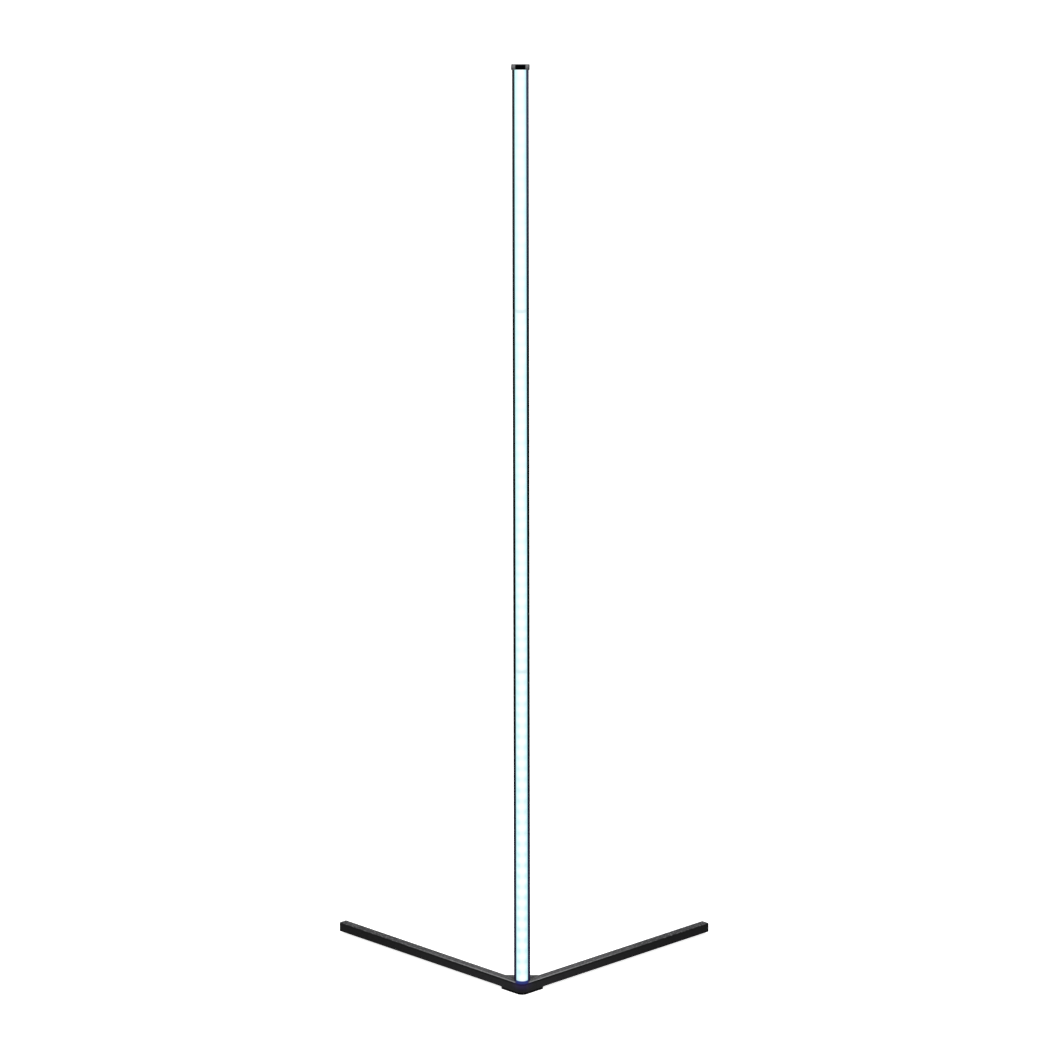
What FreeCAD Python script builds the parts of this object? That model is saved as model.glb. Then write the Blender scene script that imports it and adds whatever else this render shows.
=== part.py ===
"""Corner floor lamp: an upright light bar in the corner of a V-shaped floor base.

All lengths are millimetres. The origin is on the floor under the middle of the light bar, +Z is up,
the rounded corner of the base and the lit face look along -Y, and the two arms run back to +Y.
"""
import FreeCAD, Part
import math
import os
import Sketcher

from FreeCAD import Placement, Rotation, Vector

SIZES = {
    # whole lamp
    "total_height": 1414.7,
    "foot_height": 3.5,
    "running_fit": 0.05,
    # arms: square tubes that leave the corner at 45 degrees to either side
    "arm_length": 391.0,
    "arm_width": 14.0,
    "arm_wall": 1.2,
    "arm_rounding": 1.0,
    # corner bracket
    "corner_setback": 26.0,
    "corner_radius": 10.0,
    "corner_leg": 47.0,
    "corner_wall": 2.4,
    "web_reach": 17.5,
    "rib_thickness": 1.6,
    "rib_clearance": 4.2,
    "first_rib": 18.5,
    "second_rib": 29.5,
    "tenon_length": 32.0,
    "tenon_taper": 2.0,
    "foot_leg": 43.5,
    "foot_chamfer": 0.6,
    "spigot_height": 30.0,
    "spigot_chamfer": 1.0,
    # light bar channel
    "bar_width": 24.0,
    "bar_depth": 16.0,
    "bar_wall": 1.6,
    "bar_rounding": 1.0,
    "mouth_width": 17.0,
    "lip_depth": 2.0,
    "seat_depth": 7.0,
    "section_count": 3,
    "port_radius": 1.75,
    "port_offset": 7.6,
    "port_slot": 1.6,
    "wire_way": 9.2,
    # joiners between the channel lengths
    "joiner_length": 70.0,
    "joiner_chamfer": 1.0,
    "joiner_screws_per_end": 2,
    "joiner_screw_inset": 10.0,
    "joiner_screw_step": 14.0,
    "set_screw_radius": 2.0,
    "set_screw_length": 5.0,
    "set_screw_recess": 0.3,
    "set_screw_socket": 1.0,
    # screws from below
    "base_screw_reach": 18.0,
    "base_head_radius": 3.4,
    "base_head_height": 2.2,
    "base_socket": 1.5,
    "driver_clearance": 0.3,
    "boss_wall": 1.2,
    "arm_screw_radius": 1.5,
    "arm_screw_reach": 7.0,
    "arm_head_radius": 2.7,
    "arm_head_height": 1.8,
    "arm_socket": 1.0,
    "arm_screw_count": 2,
    "arm_screw_inset": 10.0,
    "arm_screw_step": 14.0,
    "screw_clearance": 0.2,
    # far ends of the arms
    "plug_face": 1.5,
    "plug_length": 14.0,
    "plug_wall": 1.4,
    "plug_edge": 0.5,
    "pad_width": 5.4,
    "pad_length": 18.0,
    "pad_inset": 25.0,
    "pad_margin": 0.3,
    "pad_stud_radius": 1.4,
    "pad_barb": 0.3,
    "pad_barb_height": 0.9,
    # top cap
    "cap_overhang": 1.4,
    "cap_plate": 3.4,
    "cap_skirt": 0.5,
    "cap_rounding": 1.5,
    "cap_edge": 0.7,
    "cap_plug": 14.0,
    # diffuser
    "sleeve_fit": 0.1,
    "sleeve_floor": 0.8,
    "dome_height": 7.0,
    "dome_start": 0.5,
    "chamber_radius": 5.1,
    "chamber_side": 2.4,
    # light strip
    "tape_width": 10.0,
    "tape_thickness": 0.4,
    "tape_inset": 1.0,
    "led_size": 5.0,
    "led_height": 1.6,
    "led_pitch": 16.667,
    "first_led": 6.4,
    "last_led": 4.04,
    "leds_before_cut": 2,
    "leds_per_cut": 3,
    "resistor_length": 3.0,
    "resistor_width": 1.5,
    "resistor_height": 0.6,
    # power inlet
    "inlet_flange_margin": 0.2,
    "inlet_flange": 1.5,
    "inlet_radius": 4.0,
    "inlet_length": 9.0,
    "inlet_bore": 2.85,
    "inlet_bore_depth": 9.5,
    "contact_radius": 1.05,
    "contact_recess": 1.0,
    "contact_tail": 3.0,
    "contact_tail_radius": 0.7,
    "nut_across_flats": 10.0,
    "nut_clearance": 0.5,
    "nut_thickness": 2.0,
    "tab_width": 2.0,
    "tab_thickness": 0.5,
    "tab_drop": 2.9,
    # leads from the inlet to the light strip
    "lead_radius": 0.6,
    "lead_bend": 2.0,
    "lead_straight": 2.4,
    "lead_spacing": 4.4,
    "lead_reach": 3.4,
    "lead_slot_width": 8.0,
    "lead_slot_depth": 3.2,
}

LEFT = -1
RIGHT = 1
SIDE_NAMES = {LEFT: "left", RIGHT: "right"}
UP = Vector(0, 0, 1)
POINTING_FORWARD = Rotation(Vector(1, 0, 0), 90)
NEAR = 1e-4

doc = FreeCAD.newDocument("corner_floor_lamp")


class Amount:
    """A length as a number, with the sheet expression that gives it."""

    def __init__(self, value, text=None):
        self.value = value
        self.text = repr(float(value)) if text is None else text

    def joined(self, sign, other, result):
        """Return the amount whose expression joins this one and another with a sign."""
        return Amount(result, f"({self.text} {sign} {other.text})")

    def __add__(self, other):
        other = amount(other)
        return self.joined("+", other, self.value + other.value)

    def __sub__(self, other):
        other = amount(other)
        return self.joined("-", other, self.value - other.value)

    def __mul__(self, other):
        other = amount(other)
        return self.joined("*", other, self.value * other.value)

    def __truediv__(self, other):
        other = amount(other)
        return self.joined("/", other, self.value / other.value)

    def __radd__(self, other):
        return amount(other) + self

    def __rsub__(self, other):
        return amount(other) - self

    def __rmul__(self, other):
        return amount(other) * self

    def __neg__(self):
        return amount(0) - self


def amount(thing):
    """Return a number as an amount, and an amount as it is."""
    return thing if isinstance(thing, Amount) else Amount(thing)


class Sheet:
    """The spreadsheet of driving sizes; each size is read as an attribute."""

    def __init__(self, sizes):
        self.cells = doc.addObject("Spreadsheet::Sheet", "Sizes")
        for row, (name, size) in enumerate(sizes.items(), start=1):
            self.cells.set(f"A{row}", name)
            self.cells.set(f"B{row}", str(size))
            self.cells.setAlias(f"B{row}", name)
        doc.recompute()

    def __getattr__(self, name):
        return Amount(float(getattr(self.cells, name)), f"Sizes.{name}")


size = Sheet(SIZES)
DIAGONAL = Amount(math.sqrt(0.5), "sqrt(0.5)")
WHOLE_DIAGONAL = Amount(math.sqrt(2.0), "sqrt(2.0)")

# heights
arm_top = size.foot_height + size.arm_width
bar_top = size.total_height - size.cap_plate
bar_length = bar_top - arm_top
section_length = bar_length / size.section_count
hollow_height = size.nut_across_flats + size.nut_clearance * 2
corner_roof = size.arm_width - hollow_height
roof_underside = arm_top - corner_roof
inlet_height = size.foot_height + hollow_height / 2

# depths in the channel, front to back
bar_front = -size.bar_depth / 2
bar_back = size.bar_depth / 2
lip_back = bar_front + size.lip_depth
seat = bar_front + size.seat_depth
way_front = seat + size.bar_wall
way_back = bar_back - size.bar_wall
way_middle = (way_front + way_back) / 2
groove_half = size.bar_width / 2 - size.bar_wall
tape_back = seat - size.sleeve_floor
tape_front = tape_back - size.tape_thickness
lead_depth = tape_front - size.lead_radius - size.running_fit

# widths of the ring round a screw from below
driver_radius = size.base_head_radius + size.driver_clearance
boss_radius = driver_radius + size.boss_wall


def sketch_on(body, role, lift=0):
    """Return a new sketch on one of the body's origin planes, moved along its normal."""
    plane = next(item for item in body.Origin.OriginFeatures if item.Role == role)
    sketch = body.newObject("Sketcher::SketchObject", f"{body.Name}_sketch")
    sketch.AttachmentSupport = [(plane, "")]
    sketch.MapMode = "FlatFace"
    sketch.setExpression("AttachmentOffset.Base.z", amount(lift).text)
    sketch.AttachmentOffset = Placement(Vector(0, 0, amount(lift).value), Rotation())
    return sketch


def bind(sketch, kind, *places_and_size):
    """Add one constraint whose last item is an amount, bound to the sheet."""
    *places, wanted = places_and_size
    number = sketch.addConstraint(Sketcher.Constraint(kind, *places, wanted.value))
    sketch.setExpression(f"Constraints[{number}]", wanted.text)


def outline(sketch, corners, arcs=None):
    """Draw one closed outline, anticlockwise, through corners given as pairs of amounts.

    arcs gives the radius of the stretch that leaves a corner, by the corner's number.
    A positive radius bulges outwards.
    """
    arcs = arcs or {}
    corners = [(amount(across), amount(along)) for across, along in corners]
    points = [Vector(across.value, along.value, 0) for across, along in corners]
    starts = []
    for number, start in enumerate(points):
        finish = points[(number + 1) % len(points)]
        if number in arcs:
            radius = abs(arcs[number].value)
            chord = finish - start
            rise = radius - math.sqrt(max(radius ** 2 - (chord.Length / 2) ** 2, 0))
            outwards = Vector(chord.y, -chord.x, 0).normalize()
            if arcs[number].value < 0:
                outwards = outwards * -1
            edge = sketch.addGeometry(Part.Arc(start, start + chord / 2 + outwards * rise, finish))
        else:
            edge = sketch.addGeometry(Part.LineSegment(start, finish))
        starts_here = sketch.getPoint(edge, 1).distanceToPoint(start) < NEAR
        starts.append((edge, 1 if starts_here else 2, 2 if starts_here else 1))
    for number, (edge, start_end, _) in enumerate(starts):
        before = starts[number - 1]
        sketch.addConstraint(Sketcher.Constraint("Coincident", before[0], before[2], edge, start_end))
        bind(sketch, "DistanceX", -1, 1, edge, start_end, corners[number][0])
        bind(sketch, "DistanceY", -1, 1, edge, start_end, corners[number][1])
        if number in arcs:
            wanted = arcs[number] if arcs[number].value > 0 else -arcs[number]
            bind(sketch, "Radius", edge, wanted)
    return sketch


def rectangle(sketch, left, right, low, high):
    """Draw a rectangle between four amounts."""
    return outline(sketch, [(left, low), (right, low), (right, high), (left, high)])


def rounded_rectangle(sketch, left, right, low, high, radius):
    """Draw a rectangle whose four corners are rounded."""
    left, right, low, high = (amount(edge) for edge in (left, right, low, high))
    corners = [
        (left + radius, low),
        (right - radius, low),
        (right, low + radius),
        (right, high - radius),
        (right - radius, high),
        (left + radius, high),
        (left, high - radius),
        (left, low + radius),
    ]
    return outline(sketch, corners, {number: radius for number in (1, 3, 5, 7)})


def circle(sketch, across, along, radius):
    """Draw a circle at a centre given as two amounts."""
    across, along = amount(across), amount(along)
    centre = Vector(across.value, along.value, 0)
    edge = sketch.addGeometry(Part.Circle(centre, UP, radius.value))
    # point 3 of a circle is its centre
    bind(sketch, "DistanceX", -1, 1, edge, 3, across)
    bind(sketch, "DistanceY", -1, 1, edge, 3, along)
    bind(sketch, "Radius", edge, radius)
    return sketch


def hexagon(sketch, across, along, across_flats):
    """Draw a regular hexagon with two level flats."""
    reach = across_flats / 2 * Amount(2 / math.sqrt(3), "(2.0 / sqrt(3.0))")
    half = across_flats / 2
    corners = [
        (across + reach, along),
        (across + reach / 2, along + half),
        (across - reach / 2, along + half),
        (across - reach, along),
        (across - reach / 2, along - half),
        (across + reach / 2, along - half),
    ]
    return outline(sketch, corners)


def new_body(name, place=(0, 0, 0), turn=None):
    """Return a new body whose place is bound to the sheet."""
    body = doc.addObject("PartDesign::Body", name)
    body.Label = name
    place = [amount(step) for step in place]
    body.Placement = Placement(Vector(*(step.value for step in place)), turn or Rotation())
    for axis, step in zip("xyz", place):
        body.setExpression(f"Placement.Base.{axis}", step.text)
    return body


def pad(body, sketch, length, backwards=False):
    """Add material from a sketch along its normal, or against it."""
    feature = body.newObject("PartDesign::Pad", f"{body.Name}_pad")
    feature.Profile = sketch
    feature.setExpression("Length", amount(length).text)
    feature.Reversed = backwards
    doc.recompute()
    return feature


def pocket(body, sketch, length, along_normal=False):
    """Cut a sketch out of the body and make sure that the cut took something away."""
    before = body.Shape.Volume
    feature = body.newObject("PartDesign::Pocket", f"{body.Name}_pocket")
    feature.Profile = sketch
    feature.setExpression("Length", amount(length).text)
    feature.Reversed = along_normal
    doc.recompute()
    if not body.Shape.Volume < before:
        raise RuntimeError(f"{feature.Name} cuts nothing")
    return feature


def edges_where(shape, wanted):
    """Return the names of the edges that a test picks."""
    return [f"Edge{number}" for number, edge in enumerate(shape.Edges, start=1) if wanted(edge)]


def dress(body, kind, wanted, amount_of_it):
    """Fillet or chamfer the edges of the body that a test picks."""
    base = body.Tip
    names = edges_where(base.Shape, wanted)
    feature = body.newObject(f"PartDesign::{kind}", f"{body.Name}_{kind.lower()}")
    feature.Base = (base, names)
    feature.setExpression("Radius" if kind == "Fillet" else "Size", amount_of_it.text)
    doc.recompute()
    return feature


def lies_at_height(edge, height):
    """Tell whether an edge lies in one level plane."""
    box = edge.BoundBox
    return abs(box.ZMin - height.value) < NEAR and abs(box.ZMax - height.value) < NEAR


def lies_at_depth(edge, depth):
    """Tell whether an edge lies in one plane square to the front."""
    box = edge.BoundBox
    return abs(box.YMin - depth.value) < NEAR and abs(box.YMax - depth.value) < NEAR


def on_arm(side, station, inward):
    """Return the plan point on an arm.

    station runs from the sharp outer corner along the outer face, inward runs square to it.
    """
    across = (station - inward) * DIAGONAL * side
    along = (station + inward) * DIAGONAL - size.corner_setback
    return across, along


def round_nose(inset):
    """Return the two plan points where the corner's rounding starts and ends."""
    radius = size.corner_radius - inset
    across = radius * DIAGONAL
    along = size.corner_radius * WHOLE_DIAGONAL - size.corner_setback - radius * DIAGONAL
    return [(-across, along), (across, along)]


def corner_plan(leg, inset):
    """Return the plan of the pad under the corner, drawn in by an inset, and its rounding."""
    station = leg - inset
    back = size.web_reach - inset
    half = station * WHOLE_DIAGONAL - back - size.corner_setback
    corners = round_nose(inset) + [
        on_arm(RIGHT, station, amount(inset)),
        (half, back),
        (-half, back),
        on_arm(LEFT, station, amount(inset)),
    ]
    return corners, {0: size.corner_radius - inset}


def bracket_plan():
    """Return the plan of the corner bracket and its rounding."""
    half = size.web_reach + size.corner_setback - size.arm_width * WHOLE_DIAGONAL
    corners = round_nose(amount(0)) + [
        on_arm(RIGHT, size.corner_leg, amount(0)),
        on_arm(RIGHT, size.corner_leg, size.arm_width),
        (half, size.web_reach),
        (-half, size.web_reach),
        on_arm(LEFT, size.corner_leg, size.arm_width),
        on_arm(LEFT, size.corner_leg, amount(0)),
    ]
    return corners, {0: size.corner_radius}


def tenon_plan(side):
    """Return the plan of the tenon that fills an arm's tube, anticlockwise."""
    root = size.corner_leg - size.corner_wall
    tip = size.corner_leg + size.tenon_length
    outer = size.arm_wall + size.running_fit
    inner = size.arm_width - size.arm_wall - size.running_fit
    corners = [
        on_arm(side, root, outer),
        on_arm(side, tip - size.tenon_taper, outer),
        on_arm(side, tip, outer + size.tenon_taper),
        on_arm(side, tip, inner - size.tenon_taper),
        on_arm(side, tip - size.tenon_taper, inner),
        on_arm(side, root, inner),
    ]
    return corners if side == RIGHT else corners[::-1]


def make_corner_bracket():
    """Hollow corner casting: rounded nose, web, two tenons, a spigot and the screw bosses."""
    body = new_body("corner_bracket")
    pad(body, outline(sketch_on(body, "XY_Plane", size.foot_height), *bracket_plan()), size.arm_width)
    dress(body, "Fillet", is_nose_edge, size.arm_rounding)

    cavity = sketch_on(body, "XY_Plane", size.foot_height)
    outline(cavity, *corner_plan(size.foot_leg, size.corner_wall))
    pocket(body, cavity, hollow_height, along_normal=True)

    bosses = sketch_on(body, "XY_Plane", size.foot_height)
    for side in (LEFT, RIGHT):
        circle(bosses, size.port_offset * side, way_middle, boss_radius)
    pad(body, bosses, hollow_height + corner_roof / 2)
    for side in (LEFT, RIGHT):
        add_ribs(body, side)

    driver_ways = sketch_on(body, "XY_Plane", size.foot_height)
    screw_holes = sketch_on(body, "XY_Plane", size.foot_height)
    for side in (LEFT, RIGHT):
        circle(driver_ways, size.port_offset * side, way_middle, driver_radius)
        circle(screw_holes, size.port_offset * side, way_middle, size.port_radius + size.screw_clearance)
    pocket(body, driver_ways, hollow_height, along_normal=True)
    pocket(body, screw_holes, size.arm_width, along_normal=True)

    spigot = sketch_on(body, "XY_Plane", arm_top)
    half = size.wire_way / 2 - size.running_fit
    rectangle(spigot, -half, half, way_front + size.running_fit, way_back - size.running_fit)
    pad(body, spigot, size.spigot_height)
    spigot_top = arm_top + size.spigot_height
    dress(body, "Chamfer", lambda edge: lies_at_height(edge, spigot_top), size.spigot_chamfer)

    slot = sketch_on(body, "XY_Plane", arm_top)
    slot_back = tape_front + size.running_fit
    half = size.lead_slot_width / 2
    rectangle(slot, -half, half, slot_back - size.lead_slot_depth, slot_back)
    pocket(body, slot, corner_roof)

    for side in (LEFT, RIGHT):
        tenon_low = size.foot_height + size.arm_wall + size.running_fit
        tenon = outline(sketch_on(body, "XY_Plane", tenon_low), tenon_plan(side))
        pad(body, tenon, size.arm_width - (size.arm_wall + size.running_fit) * 2)
    tapped = sketch_on(body, "XY_Plane", size.foot_height)
    for side in (LEFT, RIGHT):
        for station in arm_screw_stations():
            place = on_arm(side, station, size.arm_width / 2)
            circle(tapped, *place, size.arm_screw_radius + size.running_fit)
    pocket(body, tapped, size.arm_screw_reach + size.arm_wall, along_normal=True)

    inlet = sketch_on(body, "XZ_Plane", size.corner_wall * 2 - size.web_reach)
    circle(inlet, amount(0), inlet_height, size.inlet_radius + size.running_fit)
    pocket(body, inlet, size.corner_wall * 3)


def is_nose_edge(edge):
    """Tell whether an edge runs along the top of the bracket's outer faces."""
    if not lies_at_height(edge, arm_top):
        return False
    middle = edge.valueAt((edge.FirstParameter + edge.LastParameter) / 2)
    outer_faces = middle.y + size.corner_setback.value - abs(middle.x)
    at_nose = edge.Curve.TypeId == "Part::GeomCircle"
    return at_nose or abs(outer_faces) < NEAR


def add_ribs(body, side):
    """Stiffen one leg of the bracket with two ribs square to its outer wall."""
    ribs = sketch_on(body, "XY_Plane", size.foot_height)
    root = size.corner_wall / 2
    tip = size.arm_width - size.rib_clearance
    for station in (size.first_rib, size.second_rib):
        corners = [
            on_arm(side, station, root),
            on_arm(side, station + size.rib_thickness, root),
            on_arm(side, station + size.rib_thickness, tip),
            on_arm(side, station, tip),
        ]
        outline(ribs, corners if side == RIGHT else corners[::-1])
    pad(body, ribs, hollow_height + corner_roof / 2)


def make_corner_foot():
    """Soft pad under the corner, with two holes for the screwdriver."""
    body = new_body("corner_foot")
    sole = outline(sketch_on(body, "XY_Plane"), *corner_plan(size.foot_leg, amount(0)))
    pad(body, sole, size.foot_height)
    dress(body, "Chamfer", lambda edge: lies_at_height(edge, amount(0)), size.foot_chamfer)
    holes = sketch_on(body, "XY_Plane")
    for side in (LEFT, RIGHT):
        circle(holes, size.port_offset * side, way_middle, driver_radius)
    pocket(body, holes, size.foot_height, along_normal=True)


def arm_body(name, side, station):
    """Return a body whose X axis runs along an arm's outer face from a station."""
    across, along = on_arm(side, station, amount(0))
    turn = Rotation(UP, 45 if side == RIGHT else 135)
    return new_body(name, (across, along, size.foot_height), turn)


def inward_span(side, start, finish):
    """Return two inward offsets in an arm body's own Y, the smaller first."""
    span = (amount(start), amount(finish))
    return span if side == RIGHT else (-span[1], -span[0])


def arm_screw_stations():
    """Return the stations of the screws that hold one arm."""
    count = int(size.arm_screw_count.value)
    first = size.corner_leg + size.arm_screw_inset
    return [first + size.arm_screw_step * number for number in range(count)]


def make_arm(side):
    """Square tube of one arm, with holes for its screws and its pad's stud."""
    body = arm_body(f"{SIDE_NAMES[side]}_arm", side, size.corner_leg)
    section = sketch_on(body, "YZ_Plane")
    rounded_rectangle(section, *inward_span(side, 0, size.arm_width), 0, size.arm_width, size.arm_rounding)
    inner = size.arm_width - size.arm_wall
    rectangle(section, *inward_span(side, size.arm_wall, inner), size.arm_wall, inner)
    pad(body, section, size.arm_length - size.corner_leg - size.plug_face)
    holes = sketch_on(body, "XY_Plane")
    for station in arm_screw_stations():
        along = station - size.corner_leg
        circle(holes, along, size.arm_width / 2 * side, size.arm_screw_radius + size.screw_clearance)
    stud_station = size.arm_length - size.pad_inset - size.corner_leg
    circle(holes, stud_station, pad_offset() * side, size.pad_stud_radius + size.running_fit)
    pocket(body, holes, size.arm_wall, along_normal=True)


def pad_offset():
    """Return how far inward the middle line of an arm's pad lies."""
    return size.arm_width - size.pad_margin - size.pad_width / 2


def make_arm_end_plug(side):
    """Plug with a flush face and a hollow stub that fills the tube."""
    body = arm_body(f"{SIDE_NAMES[side]}_arm_end_plug", side, size.arm_length - size.plug_face)
    face = sketch_on(body, "YZ_Plane")
    rounded_rectangle(face, *inward_span(side, 0, size.arm_width), 0, size.arm_width, size.arm_rounding)
    pad(body, face, size.plug_face)
    dress(body, "Chamfer", is_plug_rim, size.plug_edge)
    inset = size.arm_wall + size.running_fit
    stub = sketch_on(body, "YZ_Plane")
    rectangle(stub, *inward_span(side, inset, size.arm_width - inset), inset, size.arm_width - inset)
    pad(body, stub, size.plug_length, backwards=True)
    inset = inset + size.plug_wall
    hollow = sketch_on(body, "YZ_Plane", -size.plug_length)
    rectangle(hollow, *inward_span(side, inset, size.arm_width - inset), inset, size.arm_width - inset)
    pocket(body, hollow, size.plug_length - size.plug_wall, along_normal=True)


def is_plug_rim(edge):
    """Tell whether an edge lies on the outer face of an arm's end plug."""
    box = edge.BoundBox
    face = size.plug_face.value
    return abs(box.XMin - face) < NEAR and abs(box.XMax - face) < NEAR


def make_arm_foot(side):
    """Small pad under the far end of an arm, held by a stud with a barb."""
    body = arm_body(f"{SIDE_NAMES[side]}_arm_foot", side, size.arm_length - size.pad_inset)
    middle = pad_offset() * side
    half = size.pad_width / 2
    straight = size.pad_length / 2 - half
    sole = sketch_on(body, "XY_Plane")
    corners = [
        (-straight, middle - half),
        (straight, middle - half),
        (straight + half, middle),
        (straight, middle + half),
        (-straight, middle + half),
        (-straight - half, middle),
    ]
    outline(sole, corners, {number: half for number in (1, 2, 4, 5)})
    pad(body, sole, size.foot_height, backwards=True)
    stud = circle(sketch_on(body, "XY_Plane"), amount(0), middle, size.pad_stud_radius)
    pad(body, stud, size.arm_wall + size.running_fit)
    barb = sketch_on(body, "XY_Plane", size.arm_wall + size.running_fit)
    circle(barb, amount(0), middle, size.pad_stud_radius + size.pad_barb)
    pad(body, barb, size.pad_barb_height)


def channel_plan():
    """Return the channel's section: a front mouth between two lips, and the seat of the strip."""
    half = size.bar_width / 2
    mouth = size.mouth_width / 2
    return [
        (-half, bar_front),
        (-mouth, bar_front),
        (-mouth, lip_back),
        (-groove_half, lip_back),
        (-groove_half, seat),
        (groove_half, seat),
        (groove_half, lip_back),
        (mouth, lip_back),
        (mouth, bar_front),
        (half, bar_front),
        (half, bar_back),
        (-half, bar_back),
    ]


def joint_height(number):
    """Return the height of a joint between channel lengths, counted from the floor up."""
    return arm_top + section_length * number


def make_bar_section(number, name, has_joint_below, has_joint_above):
    """One length of the channel, with a wire way and two screw ports behind the seat."""
    body = new_body(name, (0, 0, joint_height(number)))
    pad(body, outline(sketch_on(body, "XY_Plane"), channel_plan()), section_length)
    dress(body, "Fillet", is_outer_bar_edge, size.bar_rounding)
    way = sketch_on(body, "XY_Plane")
    rectangle(way, -size.wire_way / 2, size.wire_way / 2, way_front, way_back)
    pocket(body, way, section_length, along_normal=True)
    slots = sketch_on(body, "XY_Plane")
    half_slot = size.port_slot / 2
    rectangle(slots, -size.port_offset, size.port_offset, way_middle - half_slot, way_middle + half_slot)
    pocket(body, slots, section_length, along_normal=True)
    ports = sketch_on(body, "XY_Plane")
    for side in (LEFT, RIGHT):
        circle(ports, size.port_offset * side, way_middle, size.port_radius)
    pocket(body, ports, section_length, along_normal=True)
    holes = sketch_on(body, "XZ_Plane", -size.bar_depth)
    for reach in joiner_screw_reaches():
        if has_joint_below:
            circle(holes, amount(0), reach, size.set_screw_radius + size.running_fit)
        if has_joint_above:
            circle(holes, amount(0), section_length - reach, size.set_screw_radius + size.running_fit)
    pocket(body, holes, size.bar_depth - way_middle, along_normal=True)


def is_outer_bar_edge(edge):
    """Tell whether an edge is one of the channel's four outer upright edges."""
    box = edge.BoundBox
    upright = box.ZLength > NEAR and box.XLength < NEAR and box.YLength < NEAR
    at_side = abs(abs(box.XMin) - size.bar_width.value / 2) < NEAR
    return upright and at_side


def make_joiner(number, name):
    """Bar that lines up two lengths of the channel, tapped for four set screws."""
    body = new_body(name, (0, 0, joint_height(number)))
    half = size.joiner_length / 2
    section = sketch_on(body, "XY_Plane", -half)
    wide = size.wire_way / 2 - size.running_fit
    rectangle(section, -wide, wide, way_front + size.running_fit, way_back - size.running_fit)
    pad(body, section, size.joiner_length)
    for end in (half, -half):
        dress(body, "Chamfer", lambda edge: lies_at_height(edge, end), size.joiner_chamfer)
    holes = sketch_on(body, "XZ_Plane", -size.bar_depth)
    for height in joiner_screw_heights():
        circle(holes, amount(0), height, size.set_screw_radius + size.running_fit)
    pocket(body, holes, size.bar_depth * 2, along_normal=True)


def joiner_screw_reaches():
    """Return how far the screws in one end of a joiner lie from the joint."""
    count = int(size.joiner_screws_per_end.value)
    return [size.joiner_screw_inset + size.joiner_screw_step * number for number in range(count)]


def joiner_screw_heights():
    """Return the heights of all of a joiner's screws, counted from its joint."""
    reaches = joiner_screw_reaches()
    return [-reach for reach in reaches] + reaches


def make_screw(name, shank_radius, shank_length, head_radius, head_height, socket):
    """Screw that points up from the underside of its head; a set screw has no head.

    socket is half the hexagon's width across its flats, and its depth.
    """
    body = new_body(name)
    profile = sketch_on(body, "XZ_Plane")
    zero = amount(0)
    if head_height is None:
        corners = [(zero, zero), (shank_radius, zero), (shank_radius, shank_length), (zero, shank_length)]
        low = zero
    else:
        low = -head_height
        corners = [
            (zero, low),
            (head_radius, low),
            (head_radius, zero),
            (shank_radius, zero),
            (shank_radius, shank_length),
            (zero, shank_length),
        ]
    outline(profile, corners)
    turned = body.newObject("PartDesign::Revolution", f"{name}_turned")
    turned.Profile = profile
    turned.ReferenceAxis = (profile, ["V_Axis"])
    turned.Angle = 360
    doc.recompute()
    recess = hexagon(sketch_on(body, "XY_Plane", low), zero, zero, socket * 2)
    pocket(body, recess, socket, along_normal=True)
    return body


def make_group(name, master, placements):
    """Copies of one solid, which stay separate solids in one sub-part."""
    doc.recompute()
    shapes = []
    for placement in placements:
        shape = master.Shape.copy()
        shape.Placement = placement.multiply(master.Shape.Placement)
        shapes.append(shape)
    group = doc.addObject("Part::Feature", name)
    group.Label = name
    group.Shape = Part.makeCompound(shapes)
    return group


def at(across, along, height, turn=None):
    """Return a placement from three amounts."""
    place = Vector(amount(across).value, amount(along).value, amount(height).value)
    return Placement(place, turn or Rotation())


def make_screws():
    """All the screws: two under the bar, two in each arm and four in each joiner."""
    base_screw = make_screw("base_screw", size.port_radius - size.running_fit,
                            corner_roof + size.base_screw_reach,
                            size.base_head_radius, size.base_head_height, size.base_socket)
    places = [at(size.port_offset * side, way_middle, roof_underside) for side in (LEFT, RIGHT)]
    make_group("pole_base_screws", base_screw, places)

    arm_screw = make_screw("arm_screw", size.arm_screw_radius, size.arm_screw_reach,
                           size.arm_head_radius, size.arm_head_height, size.arm_socket)
    for side in (LEFT, RIGHT):
        places = []
        for station in arm_screw_stations():
            places.append(at(*on_arm(side, station, size.arm_width / 2), size.foot_height))
        make_group(f"{SIDE_NAMES[side]}_arm_screws", arm_screw, places)

    set_screw = make_screw("set_screw", size.set_screw_radius, size.set_screw_length,
                           None, None, size.set_screw_socket)
    depth = bar_back - size.set_screw_recess
    for number, name in ((1, "lower_joiner_screws"), (2, "upper_joiner_screws")):
        places = []
        for height in joiner_screw_heights():
            places.append(at(0, depth, joint_height(number) + height, POINTING_FORWARD))
        make_group(name, set_screw, places)


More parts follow.
